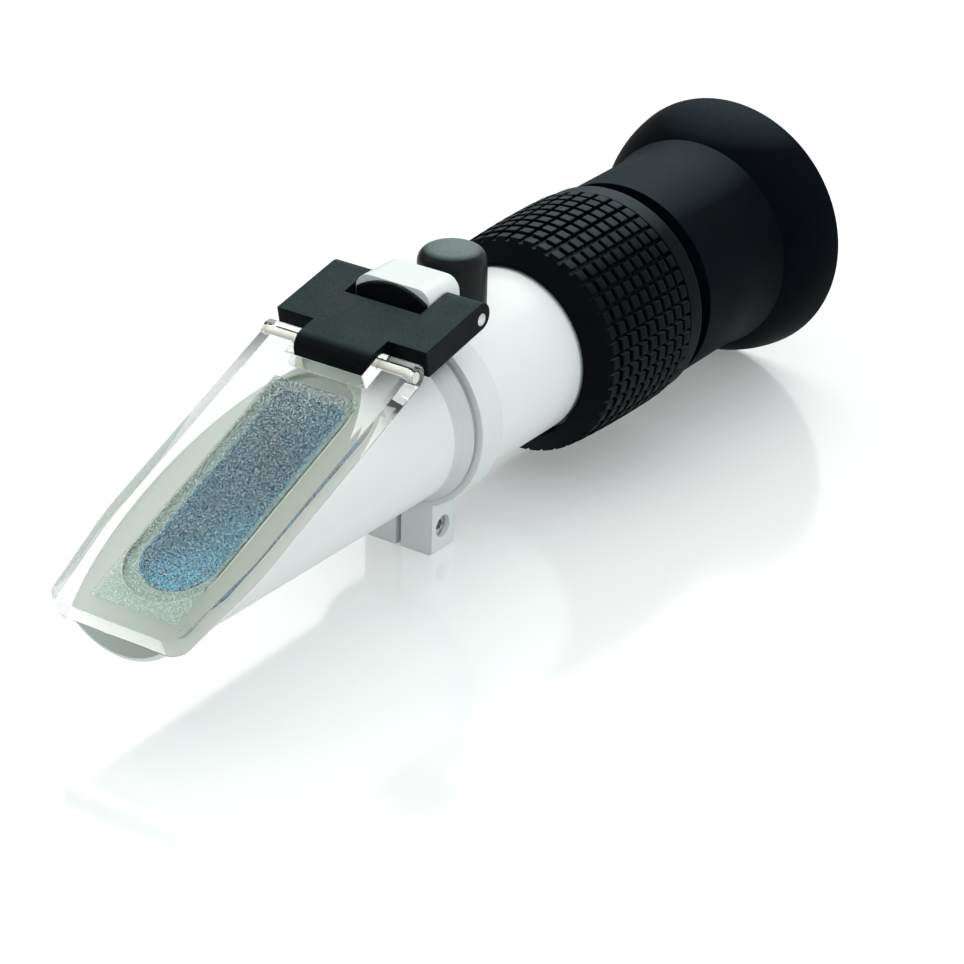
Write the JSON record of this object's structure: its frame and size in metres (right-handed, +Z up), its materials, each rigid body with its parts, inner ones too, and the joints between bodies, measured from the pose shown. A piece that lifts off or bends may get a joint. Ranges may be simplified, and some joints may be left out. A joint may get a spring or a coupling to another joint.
{
  "type": "brix refractometer",
  "caption": "Handheld brix refractometer: tapered prism nose with a hinged clear daylight plate, calibration screw under a rubber cap, checkered focus ring and a flared rubber eyecup.",
  "frame": {"origin": "on the surface that the instrument rests on, below the middle of its length and under the optical axis", "axes": "+Y along the optical axis from the prism end to the eye, +X to the side with the head of the clamp screw, +Z up, with the prism's sloping face turned up"},
  "size_m": [0.0464, 0.1698, 0.0474],
  "materials": {
    "white_paint": "satin",
    "white_casting": "satin",
    "bare_aluminium": "satin",
    "black_aluminium": "matte",
    "dark_blue_lining": "matte",
    "sealant": "matte",
    "optical_glass": "polished",
    "spring_steel": "satin",
    "steel": "satin",
    "brass": "satin",
    "black_paint": "matte",
    "clear_plastic": "polished",
    "frosted_plastic": "frosted",
    "cap_rubber": "satin",
    "grip_rubber": "matte",
    "eyecup_rubber": "satin"
  },
  "bodies": {
    "body": {"prism_housing": "white_paint", "measuring_prism": "optical_glass", "prism_lining": "dark_blue_lining", "prism_seal": "sealant", "joining_sleeve": "bare_aluminium", "stray_light_stop": "black_aluminium", "main_tube": "white_paint", "clamp_ring": "white_casting", "knuckle_bumper": "black_paint", "clamp_screw": "steel", "calibration_boss": "brass", "carrier_frame": "black_aluminium", "reticle_holder": "black_aluminium", "reticle": "optical_glass", "reticle_ring": "black_aluminium", "circlip": "steel"},
    "link": {"hinge_link": "black_paint", "link_pin": "steel", "plate_pin": "steel"},
    "plate": {"daylight_plate": "clear_plastic", "diffuser_pad": "frosted_plastic"},
    "cap": {"screw_cap": "cap_rubber"},
    "calibration_screw": {"calibration_screw": "brass", "screw_clip": "steel"},
    "objective": {"objective_carrier": "black_aluminium", "bimetal_strip": "spring_steel", "strip_screws": "steel", "objective_cell": "black_aluminium", "objective_lens": "optical_glass"},
    "focus": {"focus_ring": "bare_aluminium", "rubber_grip": "grip_rubber"},
    "eyepiece": {"eyepiece_barrel": "black_aluminium", "guide_pin": "steel", "barrel_o_ring": "grip_rubber", "field_lens": "optical_glass", "lens_spacer": "black_aluminium", "eye_lens": "optical_glass", "lens_ring": "black_aluminium", "eyecup": "eyecup_rubber"}
  },
  "joints": [
    {"name": "link_hinge", "type": "hinge", "parent": "body", "child": "link", "pos_m": [0, -0.01274, 0.0426], "axis": [-1, 0, 0], "range_deg": [0, 95]},
    {"name": "plate_hinge", "type": "hinge", "parent": "link", "child": "plate", "pos_m": [0, -0.02977, 0.03907], "axis": [-1, 0, 0], "range_deg": [0, 100]},
    {"name": "cap_lift", "type": "slide", "parent": "body", "child": "cap", "axis": [0, 0, 1], "range_m": [0, 0.009]},
    {"name": "calibration_turn", "type": "hinge", "parent": "body", "child": "calibration_screw", "pos_m": [0, -0.00057, 0.0418], "axis": [0, 0, 1], "range_deg": [-180, 180]},
    {"name": "objective_shift", "type": "slide", "parent": "body", "child": "objective", "axis": [0, 0, 1], "range_m": [-0.00025, 0.00025]},
    {"name": "focus_turn", "type": "hinge", "parent": "body", "child": "focus", "pos_m": [0, 0.03293, 0.0232], "axis": [0, 1, 0], "range_deg": [-120, 120]},
    {"name": "eyepiece_travel", "type": "slide", "parent": "body", "child": "eyepiece", "axis": [0, 1, 0], "range_m": [-0.002, 0.002]}
  ],
  "couplings": [
    {"joint": "calibration_turn", "follows": "objective_shift", "rad_per_m": 12566},
    {"joint": "eyepiece_travel", "follows": "focus_turn", "m_per_rad": 0.000954}
  ]
}
